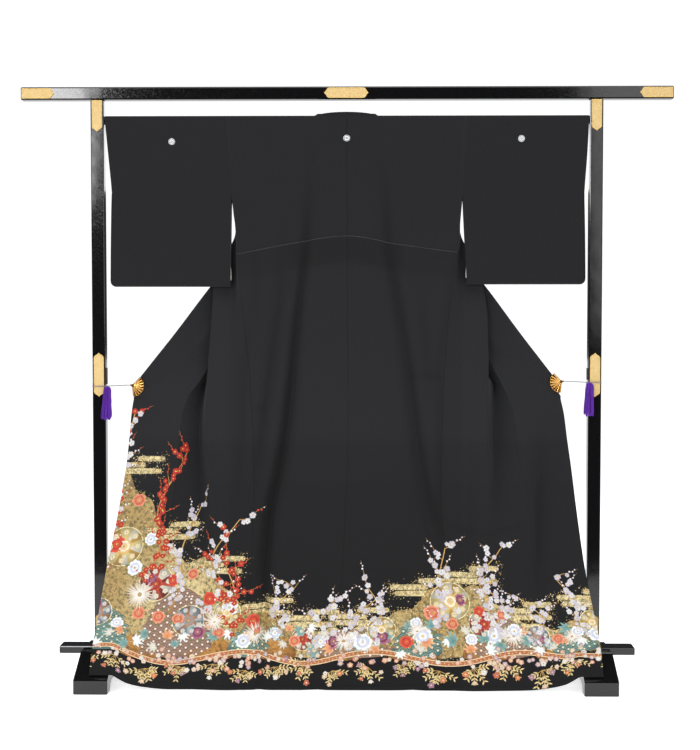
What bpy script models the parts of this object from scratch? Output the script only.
"""Formal black kimono (kurotomesode), hung back to the viewer on a lacquered kimono stand.

The cloth is built in millimetres as walls round the middle of the lined fabric. Sections at
set heights, worked out from the tables below, give each cut piece its folds. Meshes are
turned to metres when their objects are made. X runs along the stand, Y away from the viewer.
"""
import math

import bmesh
import bpy
import numpy as np

MM = 0.001
GAP = 0.3

# Stand, in millimetres
STAND_HEIGHT = 1672.0
BAR_LENGTH = 1820.0
BAR_HEIGHT = 36.0
BAR_DEPTH = 34.0
POST_SPACING = 1393.0
POST_WIDTH = 37.0
POST_DEPTH = 30.0
FOOT_LENGTH = 344.0
FOOT_WIDTH = 94.0
FOOT_TOP = 95.0
FOOT_FLAT = 132.0
TOE_HEIGHT = 40.0
TOE_PAD = 40.0
ARCH_HEIGHT = 24.0
BOARD_LENGTH = 1626.0
BOARD_WIDTH = 56.0
BOARD_THICK = 21.5
BOARD_TOP = 100.0
EDGE_ROUND = 2.5
ROD_RADIUS = 11.0
ROD_SIDES = 24

# Sheet-metal fittings on the stand's front
PLATE_THICK = 1.6
PLATE_WIDTH = 28.0
PLATE_POINT = 14.0
BAR_END_PLATE = 92.0
BAR_MIDDLE_PLATE = 124.0
POST_TOP_PLATE = 88.0
POST_MIDDLE_PLATE = (806.0, 930.0)
POST_FOOT_PLATE = (118.0, 193.0)
SIDE_PLATE_FOOT = {-1: 841.0, 1: 854.0}
SIDE_PLATE_TOP = 887.0
SIDE_PLATE_DEPTH = 18.0

# Cloth
WALL = 1.8
HEM_ROLL = 3.6
HEM_ROLL_HEIGHT = (12.0, 20.0)
ROD_CLEARANCE = 0.5
HALF_NECK = 88.5
NECK_COLUMNS = (40.0, 62.0, 71.0, 80.0, HALF_NECK, 130.0, 190.0, 250.0, 300.0)
NECK_DROP = 20.0
SLIT_TOP = 1373.0
SLIT_END = 1256.0
OKUMI_TOP = 1330.0
ERISAKI = 815.0

DRAPE_RADIUS = ROD_RADIUS + ROD_CLEARANCE + WALL / 2
SHOULDER = 1593.0
ROD_AXIS = SHOULDER - WALL / 2 - DRAPE_RADIUS
POST_X = POST_SPACING / 2
POST_FACE = POST_DEPTH / 2

# Heights of the cloth's sections, from the rod down to the hem
LEVELS = (1545.0, 1500.0, 1450.0, 1412.0, SLIT_TOP, OKUMI_TOP, SLIT_END, 1220.0, 1180.0, 1145.0, 1112.0, 1080.0,
          1050.0, 985.0, 917.0, 883.0, 850.0, ERISAKI, 800.0, 760.0, 690.0, 610.0, 520.0, 430.0, 335.0,
          235.0, 140.0, 60.0, 20.0, 12.0, 4.0)
ARC_STEPS = 4

# The hem lifts where it passes over the feet: distance from the centre, lift
HEM_LIFT = ((0.0, 0.0), (480.0, 1.0), (553.0, 8.0), (600.0, 22.0), (624.0, 37.0), (638.0, 46.5), (652.0, 48.0),
            (710.0, 48.0))
HEM_LIFT_REACH = 200.0

# Centre back seam: height, x, y
CENTRE = ((1580.0, 1.0, -12.3), (1373.0, 2.0, -17.0), (1256.0, 3.0, -27.0), (1116.0, 3.5, -38.0),
          (985.0, 4.0, -49.0), (850.0, 5.0, -60.0), (690.0, 6.0, -71.0), (520.0, 0.0, -84.0),
          (335.0, -9.0, -99.0), (140.0, -24.0, -115.0), (4.0, -35.0, -128.0))

# Troughs pressed into the back panels: side, width, then height, x, depth along each trough
TROUGHS = {
    "inner_left": (-1, 17.0, ((1500.0, -90.0, 1.0), (1356.0, -102.0, 6.0), (1189.0, -117.0, 13.0),
                              (985.0, -137.0, 20.0), (800.0, -152.0, 27.0), (624.0, -176.0, 32.0),
                              (488.0, -205.0, 33.0), (277.0, -224.0, 27.0), (100.0, -236.0, 14.0),
                              (4.0, -240.0, 7.0))),
    "outer_left": (-1, 15.0, ((1256.0, -128.0, 1.0), (1097.0, -161.0, 6.0), (985.0, -191.0, 8.0),
                              (836.0, -212.0, 9.0), (688.0, -233.0, 8.0), (540.0, -246.0, 5.0),
                              (392.0, -250.0, 0.0))),
    "inner_right": (1, 19.0, ((1500.0, 98.0, 1.0), (1356.0, 117.0, 5.0), (1189.0, 128.0, 10.0),
                              (985.0, 155.0, 14.0), (800.0, 180.0, 16.0), (651.0, 199.0, 16.0),
                              (524.0, 221.0, 14.0), (393.0, 255.0, 9.0), (300.0, 276.0, 2.0),
                              (100.0, 280.0, 0.0))),
    "hem_left": (-1, 20.0, ((120.0, -90.0, 0.0), (60.0, -86.0, 4.0), (4.0, -80.0, 7.0))),
    "hem_right": (1, 24.0, ((140.0, 120.0, 0.0), (60.0, 150.0, 5.0), (4.0, 185.0, 7.0))),
}

TROUGH_ROOM = 45.0

# Sections of each front, from the side seam out to the rim. Distances from the centre are positive.
# The cloth runs from the side seam past a near roll to the ridge, turns back into the valley, then
# goes on to the overlap seam, its pleat and its rim.
SECTION_COLUMNS = ("z", "side_x", "side_y", "near_x", "near_y", "ridge_x", "ridge_y", "valley_x", "valley_y",
                   "okumi_x", "okumi_y", "pleat_x", "pleat_y", "rim_x", "rim_y")
LEFT_SECTIONS = (
    (1580, 339, 12.4, 334, 12.4, 322, 12.4, 130, 12.4, 96, 12.4, 92, 12.4, 88, 12.4),
    (1520, 334, 12.4, 330, 12.6, 318, 13.0, 112, 14.0, 90, 15.0, 88, 16.0, 87, 17.6),
    (1450, 328, 12.4, 324, 12.6, 313, 13.5, 92, 17.2, 90, 19.6, 89, 21.0, 88, 22.0),
    (1412, 325, 12.4, 321.5, 12.7, 311, 13.7, 88, 19.5, 91, 25.5, 93, 26.5, 96, 27.5),
    (1373, 322, 12.4, 319, 12.8, 309, 14.0, 88, 19.5, 103, 25.0, 107, 26.0, 112, 27.0),
    (1330, 318, 9.5, 315.5, 12.5, 308, 14.5, 94, 20.5, 141, 27.0, 142, 27.0, 143, 27.0),
    (1256, 307, -10.0, 311, 8.0, 314.5, 15.5, 112, 22.5, 178, 28.0, 188, 28.0, 198, 28.0),
    (1190, 304, -16.0, 314, 11.8, 350, 16.0, 165, 23.0, 217, 28.0, 232, 28.0, 247, 28.0),
    (1116, 299, -21.0, 317, 10.4, 374, 16.0, 225, 23.5, 255, 28.5, 279, 28.0, 303, 27.0),
    (1050, 291, -26.0, 322, -8.0, 378, 6.0, 252, 20.5, 287, 27.5, 315, 26.0, 345, 24.0),
    (985, 283, -31.0, 329, -21.0, 382, -5.0, 272, 19.0, 321, 26.0, 356, 23.5, 392, 20.0),
    (917, 274, -37.0, 322, -33.0, 386, -18.0, 322, 20.0, 374, 20.0, 412, 17.0, 452, 12.0),
    (883, 271, -40.0, 312, -37.0, 387, -25.0, 357, 28.0, 394, 8.0, 438, 9.0, 487, 9.0),
    (850, 268, -42.0, 302, -40.0, 388, -32.0, 396, 34.0, 414, -4.0, 466, 0.0, 522, 3.2),
    (815, 266, -45.0, 300, -42.0, 389, -36.0, 404, 24.0, 440, -14.0, 530, -1.0, 597, 2.6),
    (800, 265, -46.0, 299, -43.0, 389, -38.0, 407, 19.0, 446, -18.0, 545, -1.0, 601, 2.0),
    (760, 263, -50.0, 298, -46.0, 390, -41.0, 413, 10.0, 459, -26.0, 550, -3.0, 606, -8.0),
    (690, 258, -56.0, 305, -52.0, 387, -48.0, 415, 0.0, 466, -44.0, 533, -22.0, 610, -24.0),
    (610, 256, -64.0, 318, -60.0, 380, -58.0, 410, -12.0, 470, -57.0, 530, -40.0, 617, -40.0),
    (476, 257, -77.0, 320, -80.0, 364, -76.0, 402, -42.0, 488, -74.0, 550, -62.0, 638, -62.0),
    (335, 263, -93.0, 318, -98.0, 354, -96.0, 394, -72.0, 509, -96.0, 580, -88.0, 664, -88.0),
    (140, 274, -114.0, 326, -120.0, 366, -117.0, 412, -108.0, 537, -118.0, 612, -122.0, 692, -128.0),
    (4, 281, -128.0, 335, -132.0, 375, -130.0, 425, -126.0, 553, -134.0, 640, -157.0, 702, -158.0),
)
RIGHT_SECTIONS = (
    (1580, 339, 12.4, 334, 12.4, 322, 12.4, 130, 12.4, 96, 12.4, 92, 12.4, 88, 12.4),
    (1520, 334, 12.4, 330, 12.6, 318, 13.0, 112, 14.0, 90, 15.0, 88, 16.0, 87, 17.6),
    (1450, 329, 12.4, 325, 12.6, 314, 13.5, 92, 17.2, 90, 19.6, 89, 21.0, 88, 22.0),
    (1412, 327, 12.4, 323.5, 12.7, 313, 13.7, 88, 19.5, 91, 25.5, 93, 26.5, 96, 27.5),
    (1373, 325, 12.4, 322, 12.8, 312, 14.0, 88, 19.5, 103, 25.0, 107, 26.0, 112, 27.0),
    (1330, 321, 9.5, 318.5, 12.5, 311, 14.5, 94, 20.5, 141, 27.0, 142, 27.0, 143, 27.0),
    (1256, 315, -10.0, 319, 8.0, 322.5, 15.5, 114, 22.5, 180, 28.0, 190, 28.0, 200, 28.0),
    (1190, 303, -16.0, 322, 11.8, 358, 16.0, 168, 23.0, 220, 28.0, 235, 28.0, 250, 28.0),
    (1116, 292, -21.0, 326, 10.4, 384, 16.0, 232, 23.5, 262, 28.5, 285, 28.0, 308, 27.0),
    (1050, 287, -26.0, 328, -8.0, 395, 5.0, 258, 20.5, 292, 27.5, 320, 26.0, 350, 24.0),
    (985, 281, -31.0, 335, -22.0, 397, -5.0, 279, 19.0, 328, 26.0, 361, 23.5, 396, 20.0),
    (917, 277, -37.0, 335, -36.0, 398, -18.0, 335, 20.0, 398, 15.0, 428, 14.5, 458, 12.0),
    (883, 274, -40.0, 334, -42.0, 397, -25.0, 374, 26.0, 415, 3.0, 452, 7.0, 493, 9.0),
    (850, 272, -42.0, 333, -48.0, 396, -32.0, 412, 24.0, 433, -9.0, 480, -1.0, 527, 3.2),
    (815, 270, -45.0, 333, -53.0, 395, -38.0, 416, 16.0, 450, -19.0, 550, 2.0, 599, 2.6),
    (800, 269, -46.0, 333, -55.0, 394, -40.0, 418, 12.0, 455, -23.0, 558, 2.0, 603, 2.0),
    (760, 268, -50.0, 332, -59.0, 393, -44.0, 420, 4.0, 466, -32.0, 575, 2.0, 611, -8.0),
    (690, 265, -56.0, 330, -66.0, 392, -52.0, 420, -6.0, 475, -45.0, 566, -3.0, 618, -25.0),
    (610, 264, -64.0, 330, -74.0, 398, -62.0, 418, -28.0, 487, -58.0, 556, -18.0, 628, -39.0),
    (476, 264, -77.0, 330, -88.0, 395, -84.0, 425, -72.0, 507, -78.0, 541, -50.0, 643, -62.0),
    (335, 283, -93.0, 341, -103.0, 400, -101.0, 442, -95.0, 520, -97.0, 545, -82.0, 661, -88.0),
    (140, 295, -114.0, 350, -121.0, 410, -119.0, 470, -116.0, 551, -119.0, 618, -122.0, 694, -128.0),
    (4, 297, -128.0, 355, -133.0, 420, -131.0, 490, -130.0, 560, -134.0, 640, -157.0, 703, -158.0),
)

# Collar round the neck, for each half: seam x, crest x, y and z, free edge x, y and z
COLLAR_NECK = ((0.0, 0.0, 0.0, 1603.1, 0.0, 36.0, 1560.0), (32.0, 30.0, 0.5, 1602.3, 27.0, 37.0, 1557.0),
               (62.0, 57.0, 2.0, 1600.0, 47.0, 39.0, 1549.0), (76.0, 69.0, 4.0, 1598.0, 57.0, 41.0, 1539.0))
# Collar down the front: seam height, free edge height, free edge y
COLLAR_FRONT = ((1592.0, 1524.0, 43.0), (1580.0, 1500.0, 44.0), (1545.0, 1478.0, 43.0),
                (1450.0, 1425.0, 40.0), (1373.0, 1374.0, 37.0), (1256.0, 1284.0, 33.0), (1116.0, 1155.0, 27.0),
                (985.0, 1028.0, 16.0), (917.0, 955.0, 12.0), (883.0, 922.0, 7.0), (850.0, 886.0, 3.4),
                (815.0, 853.0, 2.6))
# Collar's free edge on each side: height, x
COLLAR_EDGE = {-1: ((1523.0, 64.0), (1320.0, 224.0), (1116.0, 386.0), (994.0, 478.0), (853.0, 589.0)),
               1: ((1523.0, 64.0), (1320.0, 228.0), (1123.0, 388.0), (993.0, 484.0), (853.0, 591.0))}
COLLAR_SWELL = 4.0

# Sleeves: height, outer x
SLEEVE_OUTLINE = {
    -1: ((1593.0, 676.5), (1480.0, 666.0), (1378.0, 657.0), (1366.0, 659.0), (1250.0, 662.0), (1117.0, 664.0)),
    1: ((1593.0, 676.5), (1480.0, 671.0), (1378.0, 664.0), (1366.0, 665.0), (1250.0, 668.0), (1117.0, 670.0)),
}
# Armhole seam and the sleeve's open inner edge: x at the shoulder, at the slit's top and at the bottom
ARMHOLE = {-1: (340.0, 322.0, 326.0), 1: (340.0, 325.0, 338.0)}
SLEEVE_BOTTOM = {-1: 1116.0, 1: 1122.5}
SLEEVE_HALF_DEPTH = ((1580.0, 12.4), (1373.0, 12.4), (1300.0, 11.0), (1116.0, 8.5))
CUFF_END = 1378.0
CUFF_BLEND = 14.0
SLEEVE_ROUND = 9.0
SLEEVE_CORNER = 16.0
SLEEVE_LEVELS = (1545.0, 1500.0, 1450.0, 1412.0, 1378.0, 1362.0, 1320.0, 1270.0, 1215.0, 1165.0)
SLEEVE_FOOT = (26.0, 11.0, 4.5, 1.2, 0.0)
SLEEVE_RIM = (0.0, 1.2, 4.5, 11.0)
SLEEVE_COLUMNS = 6
FURI_LINING_WIDTH = 38.0
FURI_LINING_WALL = 1.0
FURI_LINING_SHOWS = 1.6

# Fan clips: pivot x and z, and the angles of the fan's two outer ribs
CLIPS = {-1: (603.4, 837.0), 1: (603.8, 848.7)}
CLIP_Y = 2.6
CLIP_ANGLES = (46.0, -85.0)
CLIP_PLEATS = 8
CLIP_RADII = (3.5, 12.0, 22.0, 31.0)
CLIP_PLEAT_DEPTH = 1.5
CLIP_WALL = 1.0
CLIP_BITE = 1.6
CLIP_BACK_RADIUS = 24.0
CLIP_BOSS_RADIUS = 4.6
CLIP_BEAD_RADIUS = 2.4

# Cord and tassel
CORD_RADIUS = 1.25
TASSEL_LENGTH = 93.0
TASSEL_RINGS = ((2.4, 5), (5.4, 9), (9.0, 14))
TASSEL_STRAND = 1.9
TASSEL_FLATNESS = 0.72
TASSEL_HEAD = (10.0, 8.0, 11.0)
TASSEL_TUCK = 2.1

MATERIALS = {
    "crepe_black": ((0.012, 0.012, 0.014), 0.85, 0.0),
    "silk_white": ((0.80, 0.79, 0.76), 0.70, 0.0),
    "lacquer_black": ((0.006, 0.006, 0.007), 0.12, 0.0),
    "brass_pale": ((0.86, 0.62, 0.26), 0.38, 1.0),
    "brass_dark": ((0.20, 0.15, 0.10), 0.50, 1.0),
    "brass_bright": ((0.90, 0.56, 0.18), 0.22, 1.0),
    "cord_grey": ((0.36, 0.34, 0.38), 0.60, 0.0),
    "silk_purple": ((0.10, 0.02, 0.33), 0.55, 0.0),
}


def spline(rows, column, at):
    """Smooth value of one column of a table whose first column runs up or down steadily."""
    points = sorted((row[0], row[column]) for row in rows)
    if at <= points[0][0]:
        return points[0][1]
    if at >= points[-1][0]:
        return points[-1][1]
    k = max(i for i in range(len(points) - 1) if points[i][0] <= at)
    slopes = []
    for i in (k, k + 1):
        low = points[max(i - 1, 0)]
        high = points[min(i + 1, len(points) - 1)]
        slopes.append((high[1] - low[1]) / (high[0] - low[0]))
    (x0, y0), (x1, y1) = points[k], points[k + 1]
    h = x1 - x0
    t = (at - x0) / h
    return (y0 * (2 * t**3 - 3 * t**2 + 1) + slopes[0] * h * (t**3 - 2 * t**2 + t)
            + y1 * (3 * t**2 - 2 * t**3) + slopes[1] * h * (t**3 - t**2))


def smoothstep(low, high, value):
    """0 at low, 1 at high, and an even S between them."""
    t = min(max((value - low) / (high - low), 0.0), 1.0)
    return t * t * (3 - 2 * t)


def through(points, steps):
    """Points of a centripetal curve through the given points, with the steps of each span."""
    pts = [np.array(p, float) for p in points]
    ends = [2 * pts[0] - pts[1]] + pts + [2 * pts[-1] - pts[-2]]
    out = []
    for i, count in enumerate(steps):
        a, b, c, d = ends[i:i + 4]
        knots = [0.0]
        for p, q in ((a, b), (b, c), (c, d)):
            knots.append(knots[-1] + max(np.linalg.norm(q - p), 1e-6) ** 0.5)
        t0, t1, t2, t3 = knots
        for k in range(count):
            t = t1 + (t2 - t1) * k / count
            ab = a + (b - a) * (t - t0) / (t1 - t0)
            bc = b + (c - b) * (t - t1) / (t2 - t1)
            cd = c + (d - c) * (t - t2) / (t3 - t2)
            abc = ab + (bc - ab) * (t - t0) / (t2 - t0)
            bcd = bc + (cd - bc) * (t - t1) / (t3 - t1)
            out.append(abc + (bcd - abc) * (t - t1) / (t2 - t1))
    out.append(pts[-1])
    return out


def lifted(level, x):
    """Height of a section's point: near the hem it rises with the cloth that crosses a foot."""
    return level + spline(HEM_LIFT, 1, abs(x)) * max(0.0, 1 - level / HEM_LIFT_REACH)


def sections_of(side):
    """Table of the front on one side, -1 for the viewer's left."""
    return LEFT_SECTIONS if side < 0 else RIGHT_SECTIONS


def section_point(side, name, level):
    """One named point of a front's section, as x and y."""
    column = SECTION_COLUMNS.index(name + "_x")
    rows = sections_of(side)
    return side * spline(rows, column, level), spline(rows, column + 1, level)


def neck_angle(x):
    """Angle round the rod, up from its front, where the back panel's top edge lies."""
    low, high = NECK_COLUMNS[1], NECK_COLUMNS[4]
    share = min(max((abs(x) - low) / (high - low), 0.0), 1.0)
    return math.radians(NECK_DROP + (90 - NECK_DROP) * share)


def on_rod(x, angle):
    """Point of cloth lying on the rod, the angle measured up from the rod's front."""
    return np.array((x, -DRAPE_RADIUS * math.cos(angle), ROD_AXIS + DRAPE_RADIUS * math.sin(angle)))


def armhole_x(side, z):
    """Where the sleeve joins the body, and the sleeve's free inner edge below."""
    top, middle, bottom = ARMHOLE[side]
    if z >= SLIT_TOP:
        return side * (middle + (top - middle) * (z - SLIT_TOP) / (SHOULDER - SLIT_TOP))
    return side * (middle + (bottom - middle) * (SLIT_TOP - z) / (SLIT_TOP - SLEEVE_BOTTOM[side]))


def fold_points(before, tip, after, narrow):
    """Points each side of a fold's tip that round it off, where the cloth really turns back."""
    a, t, b = (np.array(p, float) for p in (before, tip, after))
    to_a, to_b = a - t, b - t
    reach_a, reach_b = np.linalg.norm(to_a), np.linalg.norm(to_b)
    plain_a = t + to_a * min(0.3, 14.0 / reach_a)
    plain_b = t + to_b * min(0.3, 14.0 / reach_b)
    turned = smoothstep(-0.7, 0.1, float(np.dot(to_a, to_b) / (reach_a * reach_b)))
    if turned == 0:
        return plain_a, plain_b
    reach = min(reach_a, reach_b)
    mouth_a = t + to_a / reach_a * reach
    mouth_b = t + to_b / reach_b * reach
    opening = (mouth_a + mouth_b) / 2 - t
    depth = max(float(np.linalg.norm(opening)), 1e-6)
    opening /= depth
    across = np.array((-opening[1], opening[0]))
    spread = float(np.dot(mouth_b - mouth_a, across))
    half = min(0.4 * abs(spread), narrow + 0.09 * abs(spread)) * (1 if spread > 0 else -1)
    rise = min(depth * (abs(2 * half / spread)) ** 1.3, 1.6 * abs(half) + 2.0)
    round_a = t + opening * rise - across * half
    round_b = t + opening * rise + across * half
    return plain_a + (round_a - plain_a) * turned, plain_b + (round_b - plain_b) * turned


def back_side_point(side, level):
    """Side edge of the back: armhole, then the slit, then the side seam."""
    if level >= SLIT_TOP:
        return armhole_x(side, level), -DRAPE_RADIUS
    x, y = section_point(side, "side", level)
    if level >= SLIT_END:
        foot_x, foot_y = section_point(side, "side", SLIT_END)
        t = (SLIT_TOP - level) / (SLIT_TOP - SLIT_END)
        return armhole_x(side, SLIT_TOP) * (1 - t) + foot_x * t, -DRAPE_RADIUS * (1 - t) + foot_y * t
    return x, y


def back_columns(side, level):
    """Where a back panel's columns lie: the centre seam, round the inner trough, out to the side edge."""
    centre = spline(CENTRE, 1, level)
    edge = back_side_point(side, level)[0]
    if level >= SHOULDER:
        return [centre] + [side * x for x in NECK_COLUMNS] + [edge]
    half, line = TROUGHS["inner_left" if side < 0 else "inner_right"][1:]
    trough = side * min(abs(spline(line, 1, level)), abs(edge) - TROUGH_ROOM)
    room = abs(edge - trough)
    inner = trough - side * 1.9 * half
    xs = [centre, centre + (inner - centre) * 0.5, inner, trough - side * 0.95 * half, trough]
    outer = trough + side * min(1.9 * half, room * 0.5)
    xs += [(trough + outer) / 2, outer]
    return xs + [outer + (edge - outer) * share for share in (0.3, 0.6, 0.85, 1.0)]


def back_row(side, level):
    """A row of a back panel, from the centre seam out to its side edge."""
    cx, cy = spline(CENTRE, 1, level), spline(CENTRE, 2, level)
    sx, sy = back_side_point(side, level)
    row = []
    for x in back_columns(side, level):
        s = (x - cx) / (sx - cx)
        y = cy + (sy - cy) * (0.35 * s + 0.65 * s * s * (3 - 2 * s))
        edge_fade = min(1.0, (1 - s) * 7) * min(1.0, s * 7)
        for where, half, line in TROUGHS.values():
            if where == side and level <= line[0][0]:
                offset = (x - spline(line, 1, level)) / half
                y += spline(line, 2, level) * math.exp(-offset * offset) * edge_fade
        row.append(np.array((x, y, lifted(level, x))))
    return row


def back_grid(side):
    """Rows of a back panel: round the rod from the neckline and shoulder, then down to the hem."""
    grid = []
    columns = back_columns(side, SHOULDER)
    for k in range(ARC_STEPS + 1):
        row = []
        for x in columns:
            point = on_rod(x, neck_angle(x) * (1 - k / ARC_STEPS))
            if x == columns[-1]:
                point[0] = armhole_x(side, point[2])
            row.append(point)
        grid.append(row)
    for level in LEVELS:
        grid.append(back_row(side, level))
    return grid


def front_outline(side, level):
    """Points across a front's section, side seam to rim, that the cloth runs through."""
    names = ("side", "near", "ridge", "valley", "okumi", "pleat", "rim")
    p = {name: np.array(section_point(side, name, level)) for name in names}
    if level >= SLIT_TOP:
        p["side"] = np.array((armhole_x(side, level), DRAPE_RADIUS))
    if level > OKUMI_TOP:
        p["okumi"] = p["rim"]
    return p


def front_row(side, level):
    """A row of a front panel, from the side seam to the overlap seam."""
    p = front_outline(side, level)
    ridge_in, ridge_out = fold_points(p["near"], p["ridge"], p["valley"], 1.9)
    valley_in, valley_out = fold_points(p["ridge"], p["valley"], p["okumi"], 3.6)
    middle = (ridge_out + valley_in) / 2
    line = [p["side"], p["near"], ridge_in, p["ridge"], ridge_out, middle, valley_in, p["valley"], valley_out,
            p["okumi"]]
    row = through(line, (2, 1, 1, 1, 1, 1, 1, 1, 2))
    return [np.array((x, y, lifted(level, x))) for x, y in row]


def front_grid(side):
    """Rows of a front panel: over the rod's back, then down to the hem."""
    grid = []
    top = front_row(side, LEVELS[0])
    columns = len(top) - 1
    for k in range(ARC_STEPS + 1):
        blend = k / ARC_STEPS
        row = []
        for j in range(columns + 1):
            s = j / columns
            x = armhole_x(side, SHOULDER) * (1 - s) + side * HALF_NECK * s
            point = on_rod(x * (1 - blend) + top[j][0] * blend, math.pi / 2 * (1 + blend))
            if j == 0:
                point[0] = armhole_x(side, point[2])
            row.append(point)
        grid.append(row)
    for level in LEVELS:
        grid.append(front_row(side, level))
    return grid


def okumi_grid(side):
    """Rows of an overlap panel, from its seam with the front out to the collar seam and the free edge."""
    grid = []
    for level in LEVELS:
        if level > OKUMI_TOP:
            continue
        p = front_outline(side, level)
        row = through([p["okumi"], p["pleat"], p["rim"]], (3, 3))
        grid.append([np.array((x, y, lifted(level, x))) for x, y in row])
    return grid


def collar_row(seam, crest, edge, rise):
    """A row across the collar, from its seam over a crest and down behind to the free edge."""
    return through([seam, crest, (crest + edge) / 2 + np.array((0.0, 7.0, 9.0)) * rise, edge], (2, 1, 1))


def collar_grid(side, back, front):
    """Rows of a collar half, from the centre back round the neck and down to its end."""
    grid = []
    for corner in back[0]:
        x = abs(corner[0])
        if x >= HALF_NECK:
            break
        seam = on_rod(corner[0], neck_angle(x) + GAP / DRAPE_RADIUS)
        values = [spline(COLLAR_NECK, column, x) for column in range(1, 7)]
        if corner is back[0][0]:
            values[0] = values[3] = side * seam[0]
        crest = np.array((side * values[0], values[1], values[2]))
        edge = np.array((side * values[3], values[4], values[5]))
        grid.append(collar_row(seam, crest, edge, 1.0))
    for row in front:
        z = row[-1][2]
        if z < ERISAKI - 1:
            break
        seam = okumi_rim(side, z) if z <= OKUMI_TOP else row[-1].copy()
        if row is front[0]:
            seam[1] += 2 * GAP
        edge_z = spline(COLLAR_FRONT, 1, z)
        edge = np.array((side * spline(COLLAR_EDGE[side], 1, edge_z), spline(COLLAR_FRONT, 2, z), edge_z))
        rise = smoothstep(1540.0, 1592.0, z)
        turn = smoothstep(SLIT_TOP, 1450.0, z)
        swell = COLLAR_SWELL * (1 - turn) * smoothstep(ERISAKI, 985.0, z)
        crest = seam + (edge - seam) * np.array((0.4, 0.0, 0.0)) + np.array((0.0, 5.0, 6.0 * rise))
        over = collar_row(seam, crest, edge, rise)
        beside = []
        for share, lean_out, bulge in ((0.0, 0.0, 0.0), (0.17 - 0.1 * turn, 4.0, 0.6), (0.35, 5.5, 1.0),
                                       (0.67, 4.0, 0.7), (1.0, 0.0, 0.0)):
            beside.append(seam + (edge - seam) * share + np.array((0.0, lean_out * turn + swell * bulge, 0.0)))
        grid.append([a * rise + b * (1 - rise) for a, b in zip(over, beside)])
    return grid


def okumi_rim(side, level):
    """Outer boundary of the overlap panel at one height."""
    x, y = section_point(side, "rim", level)
    return np.array((x, y, lifted(level, x)))


def sleeve_grid(side, face):
    """Rows of one sleeve half: face -1 is the viewer's side of the rod, 1 the far side."""
    bottom = SLEEVE_BOTTOM[side]
    heights = list(SLEEVE_LEVELS) + [bottom + f for f in SLEEVE_FOOT]
    grid = []
    for k in range(ARC_STEPS + 1):
        angle = math.pi / 2 * (1 - k / ARC_STEPS)
        row = []
        z = on_rod(0.0, angle)[2]
        for x in sleeve_columns(side, z, 0.0):
            point = on_rod(x, angle)
            row.append(np.array((x, -face * point[1], point[2])))
        grid.append(row)
    for z in heights:
        corner = SLEEVE_CORNER
        low = z - bottom
        inset = 0.0
        if low < corner:
            inset = corner - math.sqrt(max(corner**2 - (corner - low) ** 2, 0.0))
        half = spline(SLEEVE_HALF_DEPTH, 1, z)
        outer = side * spline(SLEEVE_OUTLINE[side], 1, z)
        row = []
        for x in sleeve_columns(side, z, inset):
            aside = abs(outer - x)
            near = low
            if aside < corner and low < corner:
                near = corner - math.hypot(corner - aside, corner - low)
            elif z < CUFF_END:
                near = min(low, aside)
            shut = rounded(near)
            if z > CUFF_END - CUFF_BLEND:
                opening = smoothstep(CUFF_END - CUFF_BLEND, CUFF_END, z)
                shut = shut + (1 - shut) * opening
            row.append(np.array((x, face * (GAP / 2 + (half - GAP / 2) * shut), z)))
        grid.append(row)
    return grid


def rounded(distance):
    """How far a sleeve's wall stands out, 0 at the closed edge and 1 from the rounding inwards."""
    t = min(max(distance / SLEEVE_ROUND, 0.0), 1.0)
    return math.sqrt(1 - (1 - t) ** 2)


def sleeve_columns(side, z, inset):
    """The x of each column of a sleeve, closer together near the outer edge."""
    inner = armhole_x(side, z)
    outer = side * (spline(SLEEVE_OUTLINE[side], 1, z) - inset)
    xs = [inner + (outer - side * SLEEVE_RIM[-1] - inner) * j / SLEEVE_COLUMNS for j in range(SLEEVE_COLUMNS)]
    return xs + [outer - side * d for d in reversed(SLEEVE_RIM)]


def furi_lining_grid(side):
    """White lining that shows at a sleeve's open inner edge, inside the sleeve's far half."""
    grid = []
    for z in (1336.0, 1320.0, 1270.0, 1215.0, 1165.0, SLEEVE_BOTTOM[side] + 18.0):
        inner = abs(armhole_x(side, z)) - FURI_LINING_SHOWS * smoothstep(1336.0, 1300.0, z)
        half = spline(SLEEVE_HALF_DEPTH, 1, z) - WALL / 2 - GAP - FURI_LINING_WALL / 2
        grid.append([np.array((side * (inner + FURI_LINING_WIDTH * j / 3), half, z)) for j in range(4)])
    return grid


def normals_of(grid):
    """Unit normals of a grid of points."""
    p = np.array(grid)
    down = np.gradient(p, axis=0)
    across = np.gradient(p, axis=1)
    n = np.cross(across, down)
    length = np.linalg.norm(n, axis=2, keepdims=True)
    return n / np.maximum(length, 1e-9)


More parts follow.
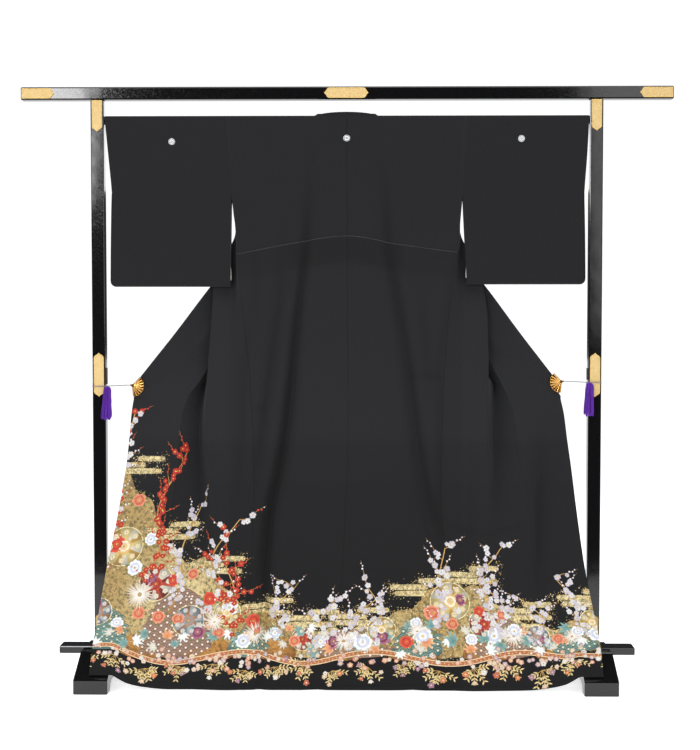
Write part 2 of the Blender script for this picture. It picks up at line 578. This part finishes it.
class Panel:
    """A cut piece of cloth: its middle surface, its normals and its wall."""

    def __init__(self, name, grid, material, wall=WALL):
        self.name = name
        self.points = np.array(grid)
        self.normals = normals_of(grid)
        self.material = material
        self.wall = wall

    def set_normals(self, rows, columns, wanted):
        """Replace some normals, keeping the way that they face."""
        old = self.normals[rows, columns]
        wanted = wanted / np.maximum(np.linalg.norm(wanted, axis=-1, keepdims=True), 1e-9)
        sign = np.where(np.sum(old * wanted, axis=-1, keepdims=True) < 0, -1.0, 1.0)
        self.normals[rows, columns] = wanted * sign

    def lie_on_rod(self, rows, columns=slice(None)):
        """Turn the normals of rows that lie on the rod straight out from its middle."""
        points = self.points[rows, columns]
        out = points - np.array((0.0, 0.0, ROD_AXIS))
        out[..., 0] = 0.0
        self.set_normals(rows, columns, out)

    def meet_halfway(self, rows, columns):
        """Keep the normals of an edge that meets its other half at Y 0 within the plane."""
        flat = self.normals[rows, columns].copy()
        flat[..., 1] = 0.0
        self.set_normals(rows, columns, flat)

    def part(self, edge):
        """Draw one edge back by half a seam gap: first or last row or column."""
        half = GAP / 2
        p = self.points
        n = self.normals
        if edge == "first_column":
            line, inner, turn = p[:, 0], p[:, 1], n[:, 0]
        elif edge == "last_column":
            line, inner, turn = p[:, -1], p[:, -2], n[:, -1]
        elif edge == "first_row":
            line, inner, turn = p[0], p[1], n[0]
        else:
            line, inner, turn = p[-1], p[-2], n[-1]
        move = inner - line
        move -= turn * np.sum(move * turn, axis=1, keepdims=True)
        line += half * move / np.maximum(np.linalg.norm(move, axis=1, keepdims=True), 1e-9)

    def thickness(self, z):
        """Wall at a height, fuller in the rolled hem."""
        if self.wall < WALL:
            return self.wall
        return self.wall + (HEM_ROLL - self.wall) * (1 - smoothstep(*HEM_ROLL_HEIGHT, z))

    def build(self, rolled=False):
        """Closed wall round the middle surface."""
        rows, columns = self.points.shape[:2]
        bm = bmesh.new()
        layers = []
        for sign in (1, -1):
            layer = []
            for i in range(rows):
                line = []
                for j in range(columns):
                    point = self.points[i][j]
                    wall = self.wall
                    if rolled:
                        wall = self.thickness(point[2] - lifted(0.0, point[0]))
                    line.append(bm.verts.new((point + self.normals[i][j] * sign * wall / 2) * MM))
                layer.append(line)
            layers.append(layer)
        front, rear = layers
        for i in range(rows - 1):
            for j in range(columns - 1):
                corners = ((i, j), (i + 1, j), (i + 1, j + 1), (i, j + 1))
                a, b, c, d = (self.points[k][m] for k, m in corners)
                start = 0 if np.linalg.norm(a - c) < np.linalg.norm(b - d) else 1
                for turn in ((0, 1, 2), (0, 2, 3)):
                    three = [corners[(start + t) % 4] for t in turn]
                    bm.faces.new([front[k][m] for k, m in three])
                    bm.faces.new([rear[k][m] for k, m in reversed(three)])
        rim = [(0, j) for j in range(columns)] + [(i, columns - 1) for i in range(1, rows)]
        rim += [(rows - 1, j) for j in range(columns - 2, -1, -1)] + [(i, 0) for i in range(rows - 2, 0, -1)]
        for (i, j), (k, m) in zip(rim, rim[1:] + rim[:1]):
            a, b, c, d = front[i][j], front[k][m], rear[k][m], rear[i][j]
            if (a.co - c.co).length < (b.co - d.co).length:
                bm.faces.new((a, b, c))
                bm.faces.new((a, c, d))
            else:
                bm.faces.new((a, b, d))
                bm.faces.new((b, c, d))
        return add_object(self.name, bm, self.material)


def share_normals(first, line_a, second, line_b, facing=1):
    """Give the two sides of a seam the same normals, so that their edges stay parallel."""
    a = first.normals[line_a]
    b = second.normals[line_b]
    count = min(len(a), len(b))
    mean = a[:count] + b[:count] * facing
    mean /= np.maximum(np.linalg.norm(mean, axis=1, keepdims=True), 1e-9)
    a[:count] = mean
    b[:count] = mean * facing


def add_object(name, bm, material):
    """Make an object of a closed mesh, with its faces pointing out."""
    bmesh.ops.recalc_face_normals(bm, faces=bm.faces)
    mesh = bpy.data.meshes.new(name)
    bm.to_mesh(mesh)
    bm.free()
    return link_object(name, mesh, material)


def link_object(name, data, material):
    """Put an object with its material in the scene."""
    obj = bpy.data.objects.new(name, data)
    bpy.context.scene.collection.objects.link(obj)
    data.materials.append(finish(material))
    if obj.type == "MESH":
        data.shade_smooth()
        data.set_sharp_from_angle(angle=math.radians(40))
    return obj


def finish(name):
    """Material of a piece, made once."""
    if name in bpy.data.materials:
        return bpy.data.materials[name]
    colour, roughness, metallic = MATERIALS[name]
    material = bpy.data.materials.new(name)
    material.use_nodes = True
    shader = material.node_tree.nodes["Principled BSDF"]
    shader.inputs["Base Color"].default_value = (*colour, 1.0)
    shader.inputs["Roughness"].default_value = roughness
    shader.inputs["Metallic"].default_value = metallic
    return material


def add_box(name, low, high, material, bevel=0.0, segments=2):
    """Box between two corners, with rounded edges."""
    bm = bmesh.new()
    bmesh.ops.create_cube(bm, size=1.0)
    size = [(b - a) * MM for a, b in zip(low, high)]
    middle = [(a + b) / 2 * MM for a, b in zip(low, high)]
    bmesh.ops.scale(bm, vec=size, verts=bm.verts)
    bmesh.ops.translate(bm, vec=middle, verts=bm.verts)
    if bevel:
        bmesh.ops.bevel(bm, geom=list(bm.edges), offset=bevel * MM, segments=segments, profile=0.5,
                        affect="EDGES")
    return add_object(name, bm, material)


def add_prism(name, outline, normal_axis, low, high, material, bevel=0.0):
    """Flat outline extruded along X or Y. The outline holds the other two coordinates."""
    bm = bmesh.new()
    faces = []
    for depth in (low, high):
        ring = []
        for a, b in outline:
            point = (depth, a, b) if normal_axis == "X" else (a, depth, b)
            ring.append(bm.verts.new([v * MM for v in point]))
        faces.append(ring)
    near, far = faces
    bm.faces.new(near)
    bm.faces.new(list(reversed(far)))
    for k in range(len(near)):
        n = (k + 1) % len(near)
        bm.faces.new((near[n], near[k], far[k], far[n]))
    if bevel:
        bmesh.ops.recalc_face_normals(bm, faces=bm.faces)
        edges = [e for e in bm.edges if e.calc_face_angle() > math.radians(20)]
        bmesh.ops.bevel(bm, geom=edges, offset=bevel * MM, segments=1, profile=0.5, affect="EDGES")
    return add_object(name, bm, material)


def pointed_outline(low, high, half, low_point, high_point):
    """Outline of a plate along one axis, with ogee points at the ends that have one."""
    ogee = ((1.0, 1.0), (0.93, 0.72), (0.66, 0.50), (0.34, 0.32), (0.12, 0.12))
    side = []
    if low_point:
        side += [(low + PLATE_POINT * along, half * out) for out, along in reversed(ogee)]
    else:
        side += [(low, half)]
    if high_point:
        side += [(high - PLATE_POINT * along, half * out) for out, along in ogee]
    else:
        side += [(high, half)]
    points = []
    if low_point:
        points.append((low, 0.0))
    points += side
    if high_point:
        points.append((high, 0.0))
    points += [(a, -b) for a, b in reversed(side)]
    return points


def build_feet():
    """Feet with a sloped toe and heel, an arch beneath, and a housing for the board."""
    half = FOOT_LENGTH / 2
    flat = FOOT_FLAT / 2
    housing = BOARD_WIDTH / 2 + GAP
    floor = BOARD_TOP - BOARD_THICK - GAP
    arch = half - TOE_PAD
    curve = [(arch - 8, ARCH_HEIGHT * 0.7), (arch - 22, ARCH_HEIGHT)]
    profile = [(-half, 0), (-arch, 0)] + [(-y, z) for y, z in curve] + list(reversed(curve)) + [(arch, 0), (half, 0)]
    profile += [(half, TOE_HEIGHT), (flat, FOOT_TOP), (housing, FOOT_TOP), (housing, floor)]
    profile += [(-y, z) for y, z in reversed(profile[-4:])]
    for side, name in ((-1, "foot_left"), (1, "foot_right")):
        x = side * POST_X
        add_prism(name, profile, "X", x - FOOT_WIDTH / 2, x + FOOT_WIDTH / 2, "lacquer_black", bevel=2.0)


def build_frame():
    """Top bar, posts, board and the rod that the kimono hangs on."""
    bar_foot = STAND_HEIGHT - BAR_HEIGHT
    add_box("top_bar", (-BAR_LENGTH / 2, -BAR_DEPTH / 2, bar_foot), (BAR_LENGTH / 2, BAR_DEPTH / 2, STAND_HEIGHT),
            "lacquer_black", bevel=4.0, segments=2)
    for side, name in ((-1, "post_left"), (1, "post_right")):
        x = side * POST_X
        add_box(name, (x - POST_WIDTH / 2, -POST_FACE, BOARD_TOP + GAP),
                (x + POST_WIDTH / 2, POST_FACE, bar_foot - GAP), "lacquer_black", bevel=EDGE_ROUND)
    add_box("cross_board", (-BOARD_LENGTH / 2, -BOARD_WIDTH / 2, BOARD_TOP - BOARD_THICK),
            (BOARD_LENGTH / 2, BOARD_WIDTH / 2, BOARD_TOP), "lacquer_black", bevel=3.0)
    bm = bmesh.new()
    reach = POST_X - POST_WIDTH / 2 - GAP
    rings = []
    for x in (-reach, reach):
        rings.append([bm.verts.new((x * MM, ROD_RADIUS * math.cos(t) * MM,
                                    (ROD_AXIS + ROD_RADIUS * math.sin(t)) * MM))
                      for t in (2 * math.pi * k / ROD_SIDES for k in range(ROD_SIDES))])
    bm.faces.new(rings[0])
    bm.faces.new(list(reversed(rings[1])))
    for k in range(ROD_SIDES):
        n = (k + 1) % ROD_SIDES
        bm.faces.new((rings[0][n], rings[0][k], rings[1][k], rings[1][n]))
    add_object("rod", bm, "lacquer_black")


def build_plates():
    """Pale brass plates on the bar's and posts' fronts, and small dark ones inside the posts."""
    half = PLATE_WIDTH / 2
    bar_z = STAND_HEIGHT - BAR_HEIGHT / 2
    bar_face = -BAR_DEPTH / 2 - GAP
    reach = BAR_LENGTH / 2 - 3.0
    spans = (("bar_plate_left", -reach, -reach + BAR_END_PLATE, False, True),
             ("bar_plate_middle", -BAR_MIDDLE_PLATE / 2, BAR_MIDDLE_PLATE / 2, True, True),
             ("bar_plate_right", reach - BAR_END_PLATE, reach, True, False))
    for name, low, high, low_point, high_point in spans:
        outline = [(a, bar_z + b) for a, b in pointed_outline(low, high, half, low_point, high_point)]
        add_prism(name, outline, "Y", bar_face - PLATE_THICK, bar_face, "brass_pale")
    bar_foot = STAND_HEIGHT - BAR_HEIGHT
    post_face = -POST_FACE - GAP
    heights = (("top", bar_foot - POST_TOP_PLATE, bar_foot - 1.0, True, False),
               ("middle", *POST_MIDDLE_PLATE, True, True), ("foot", *POST_FOOT_PLATE, True, True))
    for side, word in ((-1, "left"), (1, "right")):
        for place, low, high, low_point, high_point in heights:
            points = pointed_outline(low, high, half, low_point, high_point)
            outline = [(side * POST_X + b, a) for a, b in points]
            add_prism(f"post_plate_{place}_{word}", outline, "Y", post_face - PLATE_THICK, post_face, "brass_pale")
        face = side * (POST_X - POST_WIDTH / 2 - GAP)
        xs = sorted((face, face - side * PLATE_THICK))
        deep = SIDE_PLATE_DEPTH / 2
        add_box(f"side_plate_{word}", (xs[0], -deep, SIDE_PLATE_FOOT[side]), (xs[1], deep, SIDE_PLATE_TOP),
                "brass_dark")


def fan_wall(side, radii, angles, offsets, wall, centre):
    """Closed wall of a fan in the XZ plane, its ribs moved along Y by the offsets."""
    bm = bmesh.new()
    x0, y0, z0 = centre
    layers = []
    for shift in (-wall / 2, wall / 2):
        layer = []
        for radius in radii:
            line = []
            for angle, offset in zip(angles, offsets):
                x = x0 - side * radius * math.cos(math.radians(angle))
                z = z0 + radius * math.sin(math.radians(angle))
                y = y0 + offset * radius / radii[-1] + shift
                line.append(bm.verts.new((x * MM, y * MM, z * MM)))
            layer.append(line)
        layers.append(layer)
    near, far = layers
    rows, columns = len(radii), len(angles)
    for i in range(rows - 1):
        for j in range(columns - 1):
            bm.faces.new((near[i][j], near[i + 1][j], near[i + 1][j + 1], near[i][j + 1]))
            bm.faces.new((far[i][j], far[i][j + 1], far[i + 1][j + 1], far[i + 1][j]))
    rim = [(0, j) for j in range(columns)] + [(i, columns - 1) for i in range(1, rows)]
    rim += [(rows - 1, j) for j in range(columns - 2, -1, -1)] + [(i, 0) for i in range(rows - 2, 0, -1)]
    for (i, j), (k, m) in zip(rim, rim[1:] + rim[:1]):
        bm.faces.new((near[i][j], near[k][m], far[k][m], far[i][j]))
    bmesh.ops.recalc_face_normals(bm, faces=bm.faces)
    return bm


def join_bodies(name, pieces, material):
    """One solid of several closed meshes that run into each other."""
    objects = [add_object(f"{name}_{k}" if k else name, bm, material) for k, bm in enumerate(pieces)]
    whole = objects[0]
    for other in objects[1:]:
        union = whole.modifiers.new("union", "BOOLEAN")
        union.operation = "UNION"
        union.object = other
        other.hide_render = True
        other.display_type = "WIRE"
    return whole


def rod_between(start, end, radius, sides=12):
    """Closed round bar between two points."""
    bm = bmesh.new()
    a, b = np.array(start, float), np.array(end, float)
    axis = (b - a) / np.linalg.norm(b - a)
    across = np.cross(axis, (0.0, 0.0, 1.0) if abs(axis[2]) < 0.9 else (1.0, 0.0, 0.0))
    across /= np.linalg.norm(across)
    up = np.cross(axis, across)
    rings = []
    for point in (a, b):
        turns = (2 * math.pi * k / sides for k in range(sides))
        rings.append([bm.verts.new((point + radius * (across * math.cos(t) + up * math.sin(t))) * MM)
                      for t in turns])
    bm.faces.new(rings[0])
    bm.faces.new(list(reversed(rings[1])))
    for k in range(sides):
        n = (k + 1) % sides
        bm.faces.new((rings[0][n], rings[0][k], rings[1][k], rings[1][n]))
    bmesh.ops.recalc_face_normals(bm, faces=bm.faces)
    return bm


def build_clips():
    """Fan clips that grip the collar ends: pleated front jaw, flat back jaw, pivot and bead."""
    count = 2 * CLIP_PLEATS + 1
    high, low = CLIP_ANGLES
    angles = [high + (low - high) * k / (count - 1) for k in range(count)]
    pleats = [CLIP_PLEAT_DEPTH * (-1) ** k for k in range(count)]
    for side, word in ((-1, "left"), (1, "right")):
        x, z = CLIPS[side]
        x *= side
        front_y = CLIP_Y - CLIP_BITE - CLIP_PLEAT_DEPTH - CLIP_WALL / 2
        back_y = CLIP_Y + CLIP_BITE + CLIP_WALL / 2
        fan = fan_wall(side, CLIP_RADII, angles, pleats, CLIP_WALL, (x, front_y, z))
        back_radii = (CLIP_RADII[0], CLIP_BACK_RADIUS)
        back = fan_wall(side, back_radii, angles[::2], [0.0] * len(angles[::2]), CLIP_WALL, (x, back_y, z))
        boss = rod_between((x, front_y - 2.6, z), (x, back_y + 1.0, z), CLIP_BOSS_RADIUS)
        neck = rod_between((x, CLIP_Y, z), (x + side * 8.0, CLIP_Y, z + 1.0), CLIP_BEAD_RADIUS, sides=10)
        join_bodies(f"clip_{word}", [fan, back, boss, neck], "brass_bright")


def cord_route(side):
    """Middle line of a cord: from the clip's bead to the post, round it once and back to the tassel."""
    x, z = CLIPS[side]
    face = POST_FACE + GAP + PLATE_THICK + GAP + CORD_RADIUS + 0.2
    rear = POST_FACE + CORD_RADIUS + 0.6
    inner = POST_X - POST_WIDTH / 2 - CORD_RADIUS - 0.6
    outer = POST_X + POST_WIDTH / 2 + CORD_RADIUS + 0.6
    line = ((x + 9.0, CLIP_Y, 1.0), (x + 38.0, CLIP_Y - 9.0, 0.2), (inner - 1.0, -face + 0.8, -1.0),
            (inner + 5.0, -face, -1.2), (outer - 7.0, -face, -1.6), (outer - 1.5, -face + 2.2, -1.8),
            (outer, -rear + 8.0, -2.0), (outer, rear - 6.0, -2.8), (outer - 1.6, rear - 1.4, -3.0),
            (outer - 6.0, rear, -3.2), (inner + 6.0, rear, -4.6), (inner + 1.6, rear - 1.4, -4.9),
            (inner, rear - 6.0, -5.2), (inner - 0.5, -rear + 6.0, -7.0), (inner - 0.6, -face + 0.4, -8.4))
    steps = (4, 4, 2, 4, 2, 2, 4, 2, 2, 4, 2, 2, 4, 2)
    return [np.array((side * px, py, z + pz)) for px, py, pz in through(line, steps)]


def build_cords():
    """Cords from the clips to the posts."""
    for side, word in ((-1, "left"), (1, "right")):
        route = cord_route(side)
        curve = bpy.data.curves.new(f"cord_{word}", "CURVE")
        curve.dimensions = "3D"
        curve.bevel_depth = CORD_RADIUS * MM
        curve.bevel_resolution = 2
        curve.use_fill_caps = True
        line = curve.splines.new("POLY")
        line.points.add(len(route) - 1)
        for point, place in zip(line.points, route):
            point.co = (*(place * MM), 1.0)
        link_object(f"cord_{word}", curve, "cord_grey")


def strand(base, swell, tip, size):
    """One three-sided tassel strand through three places."""
    bm = bmesh.new()
    line = [base, swell, tip]
    rings = []
    for k, point in enumerate(line):
        radius = size / 2 * (1.0 if k < len(line) - 1 else 0.75)
        ring = []
        for corner in range(3):
            turn = 2 * math.pi * corner / 3 + 0.3
            offset = np.array((math.cos(turn), math.sin(turn), 0.0)) * radius
            ring.append(bm.verts.new((point + offset) * MM))
        rings.append(ring)
    bm.faces.new(rings[0])
    bm.faces.new(list(reversed(rings[-1])))
    for a, b in zip(rings, rings[1:]):
        for k in range(3):
            n = (k + 1) % 3
            bm.faces.new((a[n], a[k], b[k], b[n]))
    bmesh.ops.recalc_face_normals(bm, faces=bm.faces)
    return bm


def build_tassels():
    """Tassels below the cord's end: strands that stand apart under one rounded head."""
    for side, word in ((-1, "left"), (1, "right")):
        end = cord_route(side)[-1]
        head_x, head_y, head_z = TASSEL_HEAD
        centre = end + np.array((0.0, TASSEL_TUCK - head_y - CORD_RADIUS - 2 * GAP, -4.0))
        head = bmesh.new()
        bmesh.ops.create_uvsphere(head, u_segments=12, v_segments=7, radius=1.0)
        bmesh.ops.scale(head, vec=(head_x * MM, head_y * MM, head_z * MM), verts=head.verts)
        bmesh.ops.translate(head, vec=centre * MM, verts=head.verts)
        strands = bmesh.new()
        for number, (radius, count) in enumerate(TASSEL_RINGS):
            for k in range(count):
                turn = 2 * math.pi * (k + 0.5 * number) / count
                out = np.array((math.cos(turn), math.sin(turn) * TASSEL_FLATNESS, 0.0))
                fall = 4.0 * math.sin(3 * turn + number)
                base = centre + out * radius * 0.8 + np.array((0.0, 0.0, -2.0))
                swell = centre + out * radius * 1.18 + np.array((0.0, 0.0, -TASSEL_LENGTH * 0.5))
                tip = centre + out * radius * 1.32 + np.array((0.0, 0.0, -TASSEL_LENGTH + head_z + fall))
                single = strand(base, swell, tip, TASSEL_STRAND)
                mesh = bpy.data.meshes.new("strand")
                single.to_mesh(mesh)
                single.free()
                strands.from_mesh(mesh)
                bpy.data.meshes.remove(mesh)
        join_bodies(f"tassel_{word}", [head, strands], "silk_purple")


def build_body():
    """Back, front and overlap panels and the collar, parted at their seams."""
    arc = ARC_STEPS + 1
    okumi_row = arc + LEVELS.index(OKUMI_TOP)
    slit_row = arc + LEVELS.index(SLIT_END)
    panels = {}
    for side, word in ((-1, "left"), (1, "right")):
        back_rows = back_grid(side)
        front_rows = front_grid(side)
        back = Panel(f"back_{word}", back_rows, "crepe_black")
        front = Panel(f"front_{word}", front_rows, "crepe_black")
        okumi = Panel(f"okumi_{word}", okumi_grid(side), "crepe_black")
        collar = Panel(f"collar_{word}", collar_grid(side, back_rows, front_rows), "crepe_black")
        panels[side] = (back, front, okumi, collar)
        neck_rows = sum(1 for point in back_rows[0] if abs(point[0]) < HALF_NECK)
        back.lie_on_rod(slice(0, arc))
        front.lie_on_rod(slice(0, arc))
        collar.lie_on_rod(slice(0, neck_rows), 0)
        share_normals(back, (slice(slit_row, None), -1), front, (slice(slit_row, None), 0))
        share_normals(front, (slice(okumi_row, None), -1), okumi, (slice(None), 0))
        share_normals(front, (slice(0, okumi_row), -1), collar, (slice(neck_rows, neck_rows + okumi_row), 0))
        share_normals(okumi, (slice(0, LEVELS.index(ERISAKI) - LEVELS.index(OKUMI_TOP) + 1), -1), collar,
                      (slice(neck_rows + okumi_row, None), 0))
    for first, second in zip(panels[-1], panels[1]):
        if first.name.startswith("back"):
            share_normals(first, (slice(None), 0), second, (slice(None), 0), facing=-1)
        if first.name.startswith("collar"):
            share_normals(first, (0, slice(None)), second, (0, slice(None)), facing=-1)
    for back, front, okumi, collar in panels.values():
        for panel, edges in ((back, ("first_column", "last_column", "first_row")),
                             (front, ("first_column", "last_column", "first_row")),
                             (okumi, ("first_column", "last_column")), (collar, ("first_column", "first_row"))):
            for edge in edges:
                panel.part(edge)
        for panel in (back, front, okumi):
            panel.build(rolled=True)
        collar.build()


def build_sleeves():
    """Both halves of each sleeve, and the white lining at its open inner edge."""
    closed = ARC_STEPS + SLEEVE_LEVELS.index(CUFF_END) + 2
    for side, word in ((-1, "left"), (1, "right")):
        for face, place in ((-1, "back"), (1, "front")):
            half = Panel(f"sleeve_{place}_{word}", sleeve_grid(side, face), "crepe_black")
            half.lie_on_rod(slice(0, ARC_STEPS + 1))
            half.meet_halfway(slice(closed, None), -1)
            half.meet_halfway(-1, slice(None))
            half.part("first_column")
            half.part("first_row")
            half.build()
        Panel(f"furi_lining_{word}", furi_lining_grid(side), "silk_white", wall=FURI_LINING_WALL).build()


def main():
    """Clear the scene and build the stand, the kimono and what holds it out."""
    for old in list(bpy.data.objects):
        bpy.data.objects.remove(old, do_unlink=True)
    build_frame()
    build_feet()
    build_plates()
    build_body()
    build_sleeves()
    build_clips()
    build_cords()
    build_tassels()


main()
